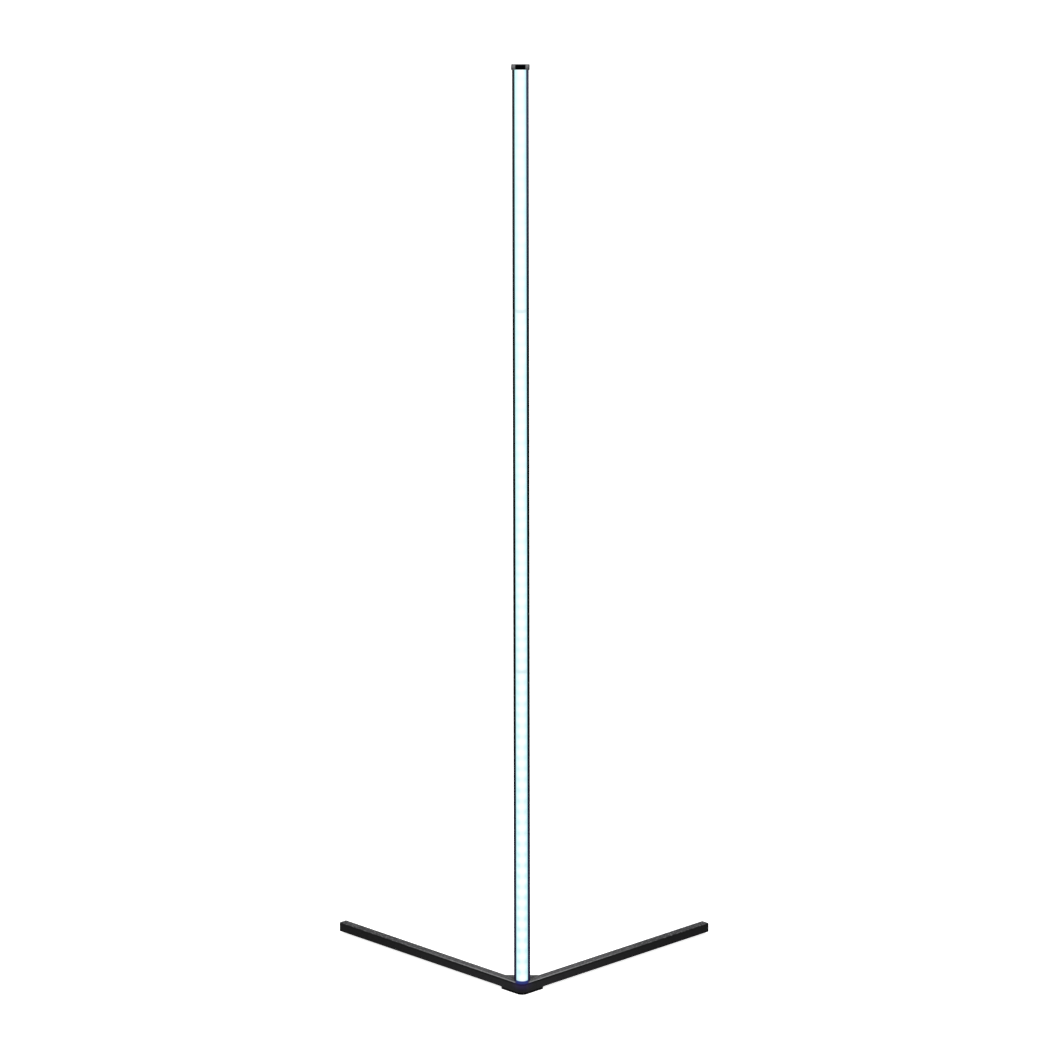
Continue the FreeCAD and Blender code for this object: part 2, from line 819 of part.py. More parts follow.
def make_diffuser_sleeve():
    """Soft sleeve: flanges behind the lips, a domed front and a chamber for the light strip."""
    body = new_body("diffuser_sleeve", (0, 0, arm_top))
    flange = groove_half - size.sleeve_fit
    neck = size.mouth_width / 2 - size.sleeve_fit
    shoulder = lip_back + size.sleeve_fit
    spring = lip_back - size.dome_start
    rise = size.dome_height
    dome_radius = (neck * neck + rise * rise) / (rise * 2)
    skin = sketch_on(body, "XY_Plane")
    corners = [
        (-neck, spring),
        (amount(0), spring - rise),
        (neck, spring),
        (neck, shoulder),
        (flange, shoulder),
        (flange, seat),
        (-flange, seat),
        (-flange, shoulder),
        (-neck, shoulder),
    ]
    outline(skin, corners, {0: dome_radius, 1: dome_radius})
    pad(body, skin, bar_length)
    chamber = sketch_on(body, "XY_Plane")
    half = size.chamber_radius
    crown = tape_back - size.chamber_side
    corners = [
        (-half, crown),
        (amount(0), crown - half),
        (half, crown),
        (half, tape_back),
        (-half, tape_back),
    ]
    outline(chamber, corners, {0: half, 1: half})
    pocket(body, chamber, bar_length, along_normal=True)


def led_heights():
    """Return the heights of the light chips' middles, spread evenly between the two ends."""
    run = bar_length - size.first_led - size.last_led
    gaps = round(run.value / size.led_pitch.value)
    return [arm_top + size.first_led + run / gaps * number for number in range(gaps + 1)]


def make_light_strip():
    """Flexible circuit with its chips and one resistor for each cut segment."""
    tape = doc.addObject("Part::Box", "led_tape")
    tape.Label = "led_tape"
    tape.setExpression("Length", size.tape_width.text)
    tape.setExpression("Width", size.tape_thickness.text)
    tape.setExpression("Height", (bar_length - size.tape_inset * 2).text)
    tape.setExpression("Placement.Base.x", (-size.tape_width / 2).text)
    tape.setExpression("Placement.Base.y", tape_front.text)
    tape.setExpression("Placement.Base.z", (arm_top + size.tape_inset).text)

    chip = doc.addObject("Part::Box", "led_chip")
    chip.setExpression("Length", size.led_size.text)
    chip.setExpression("Width", size.led_height.text)
    chip.setExpression("Height", size.led_size.text)
    half = size.led_size / 2
    heights = led_heights()
    places = [at(-half, tape_front - size.led_height, height - half) for height in heights]
    make_group("led_chips", chip, places)

    resistor = doc.addObject("Part::Box", "led_resistor")
    resistor.setExpression("Length", size.resistor_length.text)
    resistor.setExpression("Width", size.resistor_height.text)
    resistor.setExpression("Height", size.resistor_width.text)
    first = int(size.leds_before_cut.value)
    step = int(size.leds_per_cut.value)
    places = []
    for below, above in zip(heights[first - 1::step], heights[first::step]):
        height = (below + above - size.resistor_width) / 2
        places.append(at(-size.resistor_length / 2, tape_front - size.resistor_height, height))
    make_group("led_resistors", resistor, places)


def make_top_cap():
    """Cap with a plate, a short skirt round the channel and a plug in its wire way."""
    body = new_body("top_cap", (0, 0, bar_top))
    wide = size.bar_width / 2 + size.cap_overhang
    deep = size.bar_depth / 2 + size.cap_overhang
    plate = sketch_on(body, "XY_Plane", -size.cap_skirt)
    rounded_rectangle(plate, -wide, wide, -deep, deep, size.cap_rounding)
    pad(body, plate, size.cap_skirt + size.cap_plate)
    dress(body, "Chamfer", lambda edge: lies_at_height(edge, size.cap_plate), size.cap_edge)
    hollow = sketch_on(body, "XY_Plane", -size.cap_skirt)
    inner = size.bar_width / 2 + size.running_fit
    back = size.bar_depth / 2 + size.running_fit
    rounded_rectangle(hollow, -inner, inner, -back, back, size.bar_rounding)
    pocket(body, hollow, size.cap_skirt, along_normal=True)
    mouth = sketch_on(body, "XY_Plane", -size.cap_skirt)
    half = size.mouth_width / 2
    rectangle(mouth, -half, half, -deep - size.cap_overhang, bar_front + size.lip_depth)
    pocket(body, mouth, size.cap_skirt, along_normal=True)
    plug = sketch_on(body, "XY_Plane")
    half = size.wire_way / 2 - size.running_fit
    rectangle(plug, -half, half, way_front + size.running_fit, way_back - size.running_fit)
    pad(body, plug, size.cap_plug, backwards=True)
    dress(body, "Chamfer", lambda edge: lies_at_height(edge, -size.cap_plug), size.spigot_chamfer)


def make_inlet():
    """Power inlet in the back of the web: socket, centre contact, outer contact and nut."""
    back = size.web_reach
    mouth = back + size.inlet_flange
    floor = mouth - size.inlet_bore_depth
    rear = back - size.inlet_length
    centre = amount(0)

    socket = new_body("dc_jack_body", (0, 0, inlet_height))
    flange_radius = hollow_height / 2 - size.inlet_flange_margin
    flange = circle(sketch_on(socket, "XZ_Plane", -mouth), centre, centre, flange_radius)
    pad(socket, flange, size.inlet_flange)
    dress(socket, "Chamfer", lambda edge: lies_at_depth(edge, mouth), size.plug_edge)
    barrel = circle(sketch_on(socket, "XZ_Plane", -back), centre, centre, size.inlet_radius)
    pad(socket, barrel, size.inlet_length)
    bore = circle(sketch_on(socket, "XZ_Plane", -floor), centre, centre, size.inlet_bore)
    pocket(socket, bore, size.inlet_bore_depth)
    through = circle(sketch_on(socket, "XZ_Plane", -rear), centre, centre,
                     size.contact_tail_radius + size.running_fit)
    pocket(socket, through, size.inlet_length)

    contact = new_body("dc_jack_pin", (0, 0, inlet_height))
    reach = size.inlet_bore_depth - size.contact_recess
    pin = circle(sketch_on(contact, "XZ_Plane", -floor), centre, centre, size.contact_radius)
    pad(contact, pin, reach, backwards=True)
    tip = floor + reach
    dress(contact, "Chamfer", lambda edge: lies_at_depth(edge, tip), size.contact_radius / 2)
    tail = circle(sketch_on(contact, "XZ_Plane", -floor), centre, centre, size.contact_tail_radius)
    pad(contact, tail, floor - rear + size.contact_tail)

    nut = new_body("dc_jack_nut", (0, 0, inlet_height))
    face = back - size.corner_wall
    ring = sketch_on(nut, "XZ_Plane", -face)
    hexagon(ring, centre, centre, size.nut_across_flats)
    circle(ring, centre, centre, size.inlet_radius + size.running_fit)
    pad(nut, ring, size.nut_thickness)

    tab = new_body("dc_jack_sleeve_tab", (0, 0, inlet_height))
    blade = sketch_on(tab, "XZ_Plane", -rear)
    half = size.tab_width / 2
    rectangle(blade, -half, half, -size.tab_drop - size.tab_thickness, -size.tab_drop)
    pad(tab, blade, size.contact_tail)


def tangent_path(points, bend):
    """Return a wire of straight runs joined by tangent arcs of one radius."""
    edges = []
    start = points[0]
    for before, corner, after in zip(points, points[1:], points[2:]):
        inward = (before - corner).normalize()
        onward = (after - corner).normalize()
        half_turn = (math.pi - inward.getAngle(onward)) / 2
        setback = bend * math.tan(half_turn)
        first = corner + inward * setback
        last = corner + onward * setback
        middle_way = (inward + onward).normalize()
        middle = corner + middle_way * (bend / math.cos(half_turn) - bend)
        edges.append(Part.LineSegment(start, first).toShape())
        edges.append(Part.Arc(first, middle, last).toShape())
        start = last
    edges.append(Part.LineSegment(start, points[-1]).toShape())
    return Part.Wire(edges)


def make_lead(name, side, start_height):
    """Short insulated wire from an inlet contact up to the light strip."""
    rear = size.web_reach - size.inlet_length - size.contact_tail
    radius = size.lead_radius.value
    across = (size.lead_spacing / 2 * side).value
    low = start_height.value
    points = [
        Vector(0, rear.value - size.running_fit.value, low),
        Vector(0, rear.value - size.lead_straight.value, low),
        Vector(across, lead_depth.value, low),
        Vector(across, lead_depth.value, (arm_top + size.lead_reach).value),
    ]
    path = tangent_path(points, size.lead_bend.value)
    ring = Part.Wire(Part.Circle(points[0], points[1] - points[0], radius).toShape())
    lead = doc.addObject("Part::Feature", name)
    lead.Label = name
    lead.Shape = path.makePipeShell([ring], True, False)
    length_and_section = path.Length * math.pi * radius ** 2
    print(f"{name}: volume {lead.Shape.Volume:.2f}, section times length {length_and_section:.2f}")


NODES = [
    "corner_bracket", "corner_foot",
    "left_arm", "right_arm", "left_arm_end_plug", "right_arm_end_plug",
    "left_arm_foot", "right_arm_foot", "left_arm_screws", "right_arm_screws",
    "pole_lower", "pole_middle", "pole_upper", "lower_joiner", "upper_joiner",
    "lower_joiner_screws", "upper_joiner_screws", "pole_base_screws", "top_cap",
    "diffuser_sleeve", "led_tape", "led_chips", "led_resistors",
    "dc_jack_body", "dc_jack_pin", "dc_jack_nut", "dc_jack_sleeve_tab",
    "lead_positive", "lead_negative",
]


def build():
    """Build every sub-part in the order in which the lamp is put together."""
    make_corner_bracket()
    make_corner_foot()
    for side in (LEFT, RIGHT):
        make_arm(side)
        make_arm_end_plug(side)
        make_arm_foot(side)
    make_bar_section(0, "pole_lower", has_joint_below=False, has_joint_above=True)
    make_bar_section(1, "pole_middle", has_joint_below=True, has_joint_above=True)
    make_bar_section(2, "pole_upper", has_joint_below=True, has_joint_above=False)
    make_joiner(1, "lower_joiner")
    make_joiner(2, "upper_joiner")
    make_screws()
    make_top_cap()
    make_diffuser_sleeve()
    make_light_strip()
    make_inlet()
    make_lead("lead_positive", LEFT, inlet_height)
    make_lead("lead_negative", RIGHT, inlet_height - size.tab_drop - size.tab_thickness / 2)
    doc.recompute()


def check():
    """Stop if any object failed or any sub-part has no sound shape."""
    for item in doc.Objects:
        if {"Invalid", "Error"} & set(item.State):
            raise RuntimeError(f"{item.Name} failed: {item.State}")
    for name in NODES:
        shape = doc.getObject(name).Shape
        if shape.isNull() or not shape.isValid() or shape.Volume <= 0:
            raise RuntimeError(f"{name} has no sound shape")


def write():
    """Write one STEP file for each sub-part."""
    os.makedirs("parts", exist_ok=True)
    for name in NODES:
        doc.getObject(name).Shape.exportStep(f"parts/{name}.step")


build()
check()
write()
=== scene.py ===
"""Looks of a corner floor lamp: finishes, fine pieces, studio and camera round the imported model.

Lengths are metres in the model's own frame unless a name ends in _mm. The floor is at height 0, the
lit face of the bar looks along -Y and the two arms of the base run back to +Y.
"""

import logging
import math
from dataclasses import dataclass
from enum import Enum
from typing import Any, Union

import bmesh
import bpy
from mathutils import Matrix, Vector

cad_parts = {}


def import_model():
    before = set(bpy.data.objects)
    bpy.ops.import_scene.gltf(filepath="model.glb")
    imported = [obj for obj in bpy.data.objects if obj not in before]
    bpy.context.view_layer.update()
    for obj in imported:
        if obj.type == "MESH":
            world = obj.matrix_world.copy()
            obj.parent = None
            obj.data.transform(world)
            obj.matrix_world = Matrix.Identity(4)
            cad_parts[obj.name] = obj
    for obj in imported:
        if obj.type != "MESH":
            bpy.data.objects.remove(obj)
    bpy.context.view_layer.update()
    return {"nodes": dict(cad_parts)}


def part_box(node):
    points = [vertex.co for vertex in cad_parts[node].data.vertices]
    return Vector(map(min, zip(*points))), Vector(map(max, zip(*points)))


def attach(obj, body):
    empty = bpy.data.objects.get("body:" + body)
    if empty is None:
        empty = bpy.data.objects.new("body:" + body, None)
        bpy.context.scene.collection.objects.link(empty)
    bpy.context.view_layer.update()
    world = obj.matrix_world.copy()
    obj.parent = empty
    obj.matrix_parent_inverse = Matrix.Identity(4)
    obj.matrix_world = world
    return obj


MM = 0.001
BODY = "root"
DOME_RINGS = ((1.0, 0.0), (0.86, 0.55), (0.5, 0.9))  # share of the radius, share of the rise
PLATE_SIDES = ((0, 1, 5, 4), (1, 2, 6, 5), (2, 3, 7, 6), (3, 0, 4, 7), (3, 2, 1, 0), (4, 5, 6, 7))

Colour = tuple[float, float, float]
BLACK: Colour = (0.0, 0.0, 0.0)
WHITE: Colour = (1.0, 1.0, 1.0)
log = logging.getLogger("corner_floor_lamp")


# ---------------------------------------------------------------- shader maths


class Socket:
    """One output of a shader node, which takes part in arithmetic."""

    def __init__(self, shader: "Shader", output: bpy.types.NodeSocket) -> None:
        """Wrap an output.

        Args:
            shader: The shader that the node belongs to.
            output: The node's output.
        """
        self.shader = shader
        self.output = output

    def _math(self, operation: str, *terms: "Term") -> "Socket":
        """Return a Math node's result for one operation on its terms."""
        return self.shader.node("ShaderNodeMath", {"operation": operation}, dict(enumerate(terms)))

    def __add__(self, other: "Term") -> "Socket":
        """Return self + other."""
        return self._math("ADD", self, other)

    def __radd__(self, other: "Term") -> "Socket":
        """Return other + self."""
        return self._math("ADD", other, self)

    def __sub__(self, other: "Term") -> "Socket":
        """Return self - other."""
        return self._math("SUBTRACT", self, other)

    def __rsub__(self, other: "Term") -> "Socket":
        """Return other - self."""
        return self._math("SUBTRACT", other, self)

    def __mul__(self, other: "Term") -> "Socket":
        """Return self * other."""
        return self._math("MULTIPLY", self, other)

    def __rmul__(self, other: "Term") -> "Socket":
        """Return other * self."""
        return self._math("MULTIPLY", other, self)

    def __truediv__(self, other: "Term") -> "Socket":
        """Return self / other."""
        return self._math("DIVIDE", self, other)

    def __pow__(self, other: "Term") -> "Socket":
        """Return self raised to other."""
        return self._math("POWER", self, other)

    def __abs__(self) -> "Socket":
        """Return the size of self."""
        return self._math("ABSOLUTE", self)

    def cosine(self) -> "Socket":
        """Return the cosine of self in radians."""
        return self._math("COSINE", self)

    def clamped(self) -> "Socket":
        """Return self kept between 0 and 1."""
        return self.shader.node("ShaderNodeClamp", {}, {0: self})

    def smooth(self, low: float, high: float) -> "Socket":
        """Return a soft step.

        Args:
            low: The value at which the step leaves 0.
            high: The value at which the step reaches 1; it may be under low.

        Returns:
            A value from 0 to 1.
        """
        first, last = (0.0, 1.0) if high > low else (1.0, 0.0)
        inputs = {
            "Value": self,
            "From Min": min(low, high),
            "From Max": max(low, high),
            "To Min": first,
            "To Max": last,
        }
        return self.shader.node("ShaderNodeMapRange", {"interpolation_type": "SMOOTHSTEP"}, inputs)


Term = Union[Socket, float, int, Colour]


class Shader:
    """The node tree of a material or of the world, built node by node."""

    def __init__(self, block: Union[bpy.types.Material, bpy.types.World]) -> None:
        """Start with an empty tree.

        Args:
            block: The material or world that owns the tree.
        """
        self.block = block
        block.use_nodes = True
        self.tree = block.node_tree
        self.tree.nodes.clear()

    @classmethod
    def of_material(cls, name: str) -> "Shader":
        """Return the empty shader of a new material."""
        return cls(bpy.data.materials.new(name))

    def node(self, kind: str, settings: dict[str, Any], inputs: dict[Any, "Term"], output: Any = 0) -> Socket:
        """Add one node.

        Args:
            kind: The node's type.
            settings: Properties, set before the inputs; stops are a ramp's places and colours.
            inputs: Values or links of the node's inputs, by name or number.
            output: The output to return, by name or number.

        Returns:
            The chosen output.
        """
        made = self.tree.nodes.new(kind)
        stops = settings.get("stops", ())
        for number, (place, colour) in enumerate(stops):
            elements = made.color_ramp.elements
            element = elements[number] if number < len(elements) else elements.new(place)
            element.position = place
            element.color = (*colour, 1.0)
        for name, value in settings.items():
            if name != "stops":
                setattr(made, name, value)
        for place, value in inputs.items():
            socket = made.inputs[place]
            if isinstance(value, Socket):
                self.tree.links.new(value.output, socket)
            elif isinstance(value, tuple) and len(socket.default_value) > len(value):
                socket.default_value = (*value, 1.0)
            else:
                socket.default_value = value
        return Socket(self, made.outputs[output])

    def place(self) -> tuple[Socket, Socket, Socket, Socket]:
        """Return the surface point in the model's frame: the vector, then its X, Y and Z."""
        vector = self.node("ShaderNodeTexCoord", {}, {}, "Object")
        parts = [self.node("ShaderNodeSeparateXYZ", {}, {0: vector}, axis) for axis in "XYZ"]
        return (vector, *parts)

    def noise(
        self, vector: Socket, scale: float, detail: float = 2.0, stretch: Colour = (1.0, 1.0, 1.0)
    ) -> Socket:
        """Return fractal noise from 0 to 1.

        Args:
            vector: The point to read it at.
            scale: Features per metre.
            detail: Octaves.
            stretch: Factors on the three axes.

        Returns:
            The noise value.
        """
        stretched = self.node("ShaderNodeVectorMath", {"operation": "MULTIPLY"}, {0: vector, 1: stretch})
        return self.node("ShaderNodeTexNoise", {}, {"Vector": stretched, "Scale": scale, "Detail": detail})

    def blend(self, first: Term, second: Term, share: Term) -> Socket:
        """Return a colour between two colours.

        Args:
            first: The colour at share 0.
            second: The colour at share 1.
            share: From 0 to 1.

        Returns:
            The mixed colour.
        """
        inputs = {0: share, 6: first, 7: second}
        return self.node("ShaderNodeMix", {"data_type": "RGBA"}, inputs, 2)

    def seen_directly(self) -> Socket:
        """Return 1 where the camera, a reflection or a view through glass sees the surface."""
        kinds = ("Is Camera Ray", "Is Glossy Ray", "Is Transmission Ray")
        camera, glossy, through = (self.node("ShaderNodeLightPath", {}, {}, kind) for kind in kinds)
        return (camera + glossy + through).clamped()

    def bump(self, height: Socket, depth: float, strength: float = 1.0) -> Socket:
        """Return a normal that is disturbed by a height.

        Args:
            height: The height, about 0 to 1.
            depth: Metres from the lowest to the highest.
            strength: How much of it counts.

        Returns:
            The normal.
        """
        return self.node("ShaderNodeBump", {}, {"Height": height, "Distance": depth, "Strength": strength})

    def surface(self, inputs: dict[str, "Term"]) -> Socket:
        """Return a Principled surface with the given inputs."""
        return self.node("ShaderNodeBsdfPrincipled", {}, inputs)

    def finish(self, surface: Socket) -> Any:
        """Connect the surface to the output and return the material or world."""
        whose = "World" if isinstance(self.block, bpy.types.World) else "Material"
        made = self.tree.nodes.new("ShaderNodeOutput" + whose)
        self.tree.links.new(surface.output, made.inputs["Surface"])
        return self.block


# ---------------------------------------------------------------- finishes


def dimmed(colour: Colour, share: float) -> Colour:
    """Return a colour with each channel multiplied by a share."""
    return tuple(share * part for part in colour)


@dataclass(frozen=True)
class Fade:
    """Soft step: 0 at its start and 1 at its end, which may be the lower of the two."""

    start: float
    end: float

    def of(self, value: Socket, base: float = 0.0) -> Socket:
        """Return the step of a value.

        Args:
            value: What it is read from.
            base: What start and end are counted from.

        Returns:
            A value from 0 to 1.
        """
        return value.smooth(base + self.start, base + self.end)


@dataclass(frozen=True)
class Spread:
    """How much a noise of 0 to 1 raises and lowers a value round its middle."""

    amount: float

    def of(self, noise: Socket) -> Socket:
        """Return the noise moved to lie about 0, from -amount / 2 to +amount / 2."""
        return self.amount * (noise - 0.5)


@dataclass(frozen=True)
class Window:
    """Soft band: 1 between two fades and 0 outside them."""

    rise: Fade
    fall: Fade

    def of(self, value: Socket, base: float = 0.0) -> Socket:
        """Return the band of a value, with its fades counted from a base."""
        return self.rise.of(value, base) * self.fall.of(value, base)


@dataclass(frozen=True)
class PowderCoat:
    """Black powder coat of low gloss: fine grain, flecked top faces, a painted sheen on the top faces and
    painted light on the sides, both stronger near the corner, painted shade along the top faces and under
    their outer edge, a painted highlight along the outer top edge, and on the bracket a painted glow of the
    bar's light.

    Heights are counted from the top face, and distances inward from the outer top edge.
    """

    name: str
    top: float
    setback: float
    width: float
    has_painted_glow: bool = False
    side_far: Colour = (0.0026, 0.0026, 0.0030)
    # painted light: side faces lighter towards the corner than at the far ends
    painted_light_side_near: Colour = (0.0125, 0.0125, 0.0135)
    # painted sheen: top faces lighter than the sides, most near the corner
    painted_sheen_top_far: Colour = (0.0330, 0.0330, 0.0350)
    painted_sheen_top_near: Colour = (0.0830, 0.0830, 0.0870)
    fleck: Colour = (0.2100, 0.2100, 0.2150)
    # painted highlight along the outer top edge
    painted_edge_highlight: Colour = (0.3800, 0.3830, 0.3900)
    # painted shade: a dark line just under the outer top edge
    shade: Colour = (0.0004, 0.0004, 0.0005)
    # painted glow: the bar's blue and violet light, given off by the coat itself
    painted_blue_glow: Colour = (0.0035, 0.0130, 0.1600)
    painted_violet_glow: Colour = (0.0125, 0.0050, 0.0480)
    roughness: float = 0.52
    gloss: float = 0.05
    grain_per_m: float = 1500.0
    grain_depth: float = 0.05 * MM
    fleck_per_m: float = 330.0
    fleck_detail: float = 3.0
    fleck_seen: Fade = Fade(0.50, 0.68)
    fleck_share: float = 0.75
    fleck_roughness: Spread = Spread(0.10)
    patch_per_m: float = 55.0
    patch_detail: float = 5.0
    patch_seen: Fade = Fade(0.35, 0.55)
    patch_roughness: Spread = Spread(0.12)
    patch_base: float = 0.7
    patch_gain: float = 0.6
    corner: Fade = Fade(0.23, 0.02)
    # painted shade: top faces darker towards their inner edge
    painted_shade_inner_edge: Fade = Fade(0.55, 0.95)
    painted_shade_inner_share: float = 0.6
    # painted shade: a dark broken line along the top faces near the corner
    painted_shade_line: Window = Window(Fade(2.6 * MM, 4.2 * MM), Fade(7.4 * MM, 5.4 * MM))
    painted_shade_line_share: float = 0.35
    on_top: Fade = Fade(-0.8 * MM, -0.1 * MM)
    before_bar: Fade = Fade(-8.0 * MM, -12.0 * MM)
    beside_bar: Fade = Fade(13.0 * MM, 8.0 * MM)
    under_edge: Window = Window(Fade(-4.2 * MM, -2.4 * MM), Fade(-0.9 * MM, -1.3 * MM))
    # where the painted highlight lies along the outer top edge, and how strong it is
    highlight_inward: Fade = Fade(2.3 * MM, 1.3 * MM)
    highlight_height: Fade = Fade(-0.9 * MM, -0.4 * MM)
    highlight_base: float = 0.1
    highlight_gain: float = 0.9
    spill_front: Fade = Fade(-3.0 * MM, -12.0 * MM)
    violet_down: Fade = Fade(-14.0 * MM, -1.0 * MM)
    violet_across: Fade = Fade(19.0 * MM, 2.0 * MM)
    blue_down: Fade = Fade(-1.3 * MM, -0.3 * MM)
    blue_across: Fade = Fade(11.0 * MM, 6.5 * MM)

    def material(self) -> bpy.types.Material:
        """Return the material."""
        shader = Shader.of_material(self.name)
        vector, across, along, height = shader.place()
        grain = shader.noise(vector, self.grain_per_m)
        patches = shader.noise(vector, self.patch_per_m, self.patch_detail)
        flecks = shader.noise(vector, self.fleck_per_m, self.fleck_detail)
        near_corner = self.corner.of(abs(across))
        inward = (along + self.setback - abs(across)) * math.sqrt(0.5)
        on_ledge = self.before_bar.of(along) * self.beside_bar.of(abs(across))
        # painted light on the side faces, stronger near the corner
        sides = shader.blend(
            self.side_far, self.painted_light_side_near, near_corner * (self.patch_base + self.patch_gain * patches)
        )
        # painted sheen on the top faces, stronger near the corner
        tops = shader.blend(self.painted_sheen_top_far, self.painted_sheen_top_near, near_corner)
        # painted shade at the inner edge of the top faces
        painted_inner_shade = self.painted_shade_inner_edge.of(inward / self.width) * self.painted_shade_inner_share
        tops = shader.blend(tops, self.painted_light_side_near, painted_inner_shade)
        # painted shade line along the top faces
        dull = self.painted_shade_line.of(inward) * near_corner * self.patch_seen.of(patches)
        tops = shader.blend(tops, self.painted_light_side_near, dull * self.painted_shade_line_share)
        tops = shader.blend(tops, self.fleck, self.fleck_seen.of(flecks) * self.fleck_share)
        # top faces take their painted sheen and painted shade, except on the ledge before the bar
        colour = shader.blend(sides, tops, self.on_top.of(height, self.top) * (1.0 - on_ledge))
        # painted shade just under the outer top edge
        colour = shader.blend(colour, self.shade, self.under_edge.of(height, self.top))
        # painted highlight along the outer top edge near the corner, broken up by the flecks
        on_edge = self.highlight_inward.of(inward) * self.highlight_height.of(height, self.top)
        painted_highlight = on_edge * near_corner * (self.highlight_base + self.highlight_gain * flecks) * (1.0 - on_ledge)
        unevenness = self.patch_roughness.of(patches) + self.fleck_roughness.of(flecks)
        surface = shader.surface({
            "Base Color": shader.blend(colour, self.painted_edge_highlight, painted_highlight.clamped()),
            "Roughness": self.roughness + unevenness,
            "Specular IOR Level": self.gloss,
            # painted glow of the bar's light, switched on for the bracket only
            "Emission Color": self._painted_glow(shader, across, along, height),
            "Emission Strength": 1.0 if self.has_painted_glow else 0.0,
            "Normal": shader.bump(grain, self.grain_depth),
        })
        return shader.finish(surface)

    def _painted_glow(self, shader: Shader, across: Socket, along: Socket, height: Socket) -> Socket:
        """Return the painted glow of the bar's light, given off by the coat itself.

        Args:
            shader: The shader to build in.
            across: The point's X.
            along: The point's Y.
            height: The point's Z.

        Returns:
            Painted blue glow on the ledge before the bar, and painted violet glow that fades down the nose.
        """
        in_front = self.spill_front.of(along)
        violet = in_front * self.violet_down.of(height, self.top) * self.violet_across.of(abs(across))
        blue = in_front * self.blue_down.of(height, self.top) * self.blue_across.of(abs(across))
        return shader.blend(shader.blend(BLACK, self.painted_violet_glow, violet), self.painted_blue_glow, blue)


@dataclass(frozen=True)
class AnodisedChannel:
    """Black anodised aluminium with the die's fine lines along it, painted light at the top of its front and
    a painted glow of the bar's light at its foot.
    """

    name: str
    low: float
    high: float
    back: Colour = (0.0045, 0.0045, 0.0052)
    middle: Colour = (0.0005, 0.0007, 0.0018)
    # painted light at the top of the front: grey on the left, violet on the right
    painted_light_top_left: Colour = (0.0240, 0.0270, 0.0310)
    painted_light_top_right: Colour = (0.0500, 0.0520, 0.0880)
    # painted glow of the bar's light at the foot of the front
    painted_glow_foot_left: Colour = (0.0200, 0.0190, 0.0520)
    painted_glow_foot_right: Colour = (0.0170, 0.0150, 0.0560)
    # how far the painted light and glow reach from each end, as a share of the length
    painted_light_reach: float = 0.34
    to_right: Fade = Fade(-2.0 * MM, 2.0 * MM)
    on_front: Fade = Fade(-4.0 * MM, -7.0 * MM)
    roughness: float = 0.40
    gloss: float = 0.05
    lines_per_m: float = 2600.0
    line_stretch: Colour = (1.0, 1.0, 0.004)
    line_depth: float = 0.02 * MM
    line_seen: Fade = Fade(0.5, 0.8)
    line_share: float = 0.5
    line_roughness: Spread = Spread(0.14)
    clouds_per_m: float = 9.0
    cloud_detail: float = 4.0
    cloud_base: float = 0.75
    cloud_gain: float = 0.5
    cloud_roughness: Spread = Spread(0.08)

    def material(self) -> bpy.types.Material:
        """Return the material."""
        shader = Shader.of_material(self.name)
        vector, across, along, height = shader.place()
        lines = shader.noise(vector, self.lines_per_m, stretch=self.line_stretch)
        clouds = shader.noise(vector, self.clouds_per_m, self.cloud_detail)
        reach = self.painted_light_reach * (self.high - self.low)
        right = self.to_right.of(across)
        # painted light at the top and painted glow of the bar's light at the foot, on the front only
        at_top = shader.blend(self.painted_light_top_left, self.painted_light_top_right, right)
        at_foot = shader.blend(self.painted_glow_foot_left, self.painted_glow_foot_right, right)
        front = self.on_front.of(along)
        to_top = front * height.smooth(self.high - reach, self.high)
        to_foot = front * height.smooth(self.low + reach, self.low)
        plain = shader.blend(self.back, self.middle, front)
        colour = shader.blend(plain, at_top, to_top * (self.cloud_base + self.cloud_gain * clouds))
        colour = shader.blend(colour, at_foot, to_foot)
        unevenness = self.line_roughness.of(lines) + self.cloud_roughness.of(clouds)
        surface = shader.surface({
            "Base Color": shader.blend(colour, self.middle, self.line_seen.of(lines) * self.line_share),
            "Roughness": self.roughness + unevenness,
            "Specular IOR Level": self.gloss,
            "Normal": shader.bump(lines, self.line_depth),
        })
        return shader.finish(surface)


@dataclass(frozen=True)
class MouldedPlastic:
    """Black moulded plastic with a faint spark-eroded texture."""

    name: str
    colour: Colour = (0.0045, 0.0045, 0.0050)
    flow_share: float = 2.2
    flow_seen: Fade = Fade(0.35, 0.8)
    flow_per_m: float = 120.0
    flow_roughness: Spread = Spread(0.08)
    roughness: float = 0.50
    gloss: float = 0.10
    grain_per_m: float = 2200.0
    grain_depth: float = 0.04 * MM
    grain_roughness: Spread = Spread(0.15)
    detail: float = 3.0

    def material(self) -> bpy.types.Material:
        """Return the material."""
        shader = Shader.of_material(self.name)
        vector, _, _, _ = shader.place()
        grain = shader.noise(vector, self.grain_per_m, self.detail)
        flow = shader.noise(vector, self.flow_per_m, self.detail)
        paler = dimmed(self.colour, self.flow_share)
        unevenness = self.grain_roughness.of(grain) + self.flow_roughness.of(flow)
        surface = shader.surface({
            "Base Color": shader.blend(self.colour, paler, self.flow_seen.of(flow)),
            "Roughness": self.roughness + unevenness,
            "Specular IOR Level": self.gloss,
            "Normal": shader.bump(grain, self.grain_depth),
        })
        return shader.finish(surface)


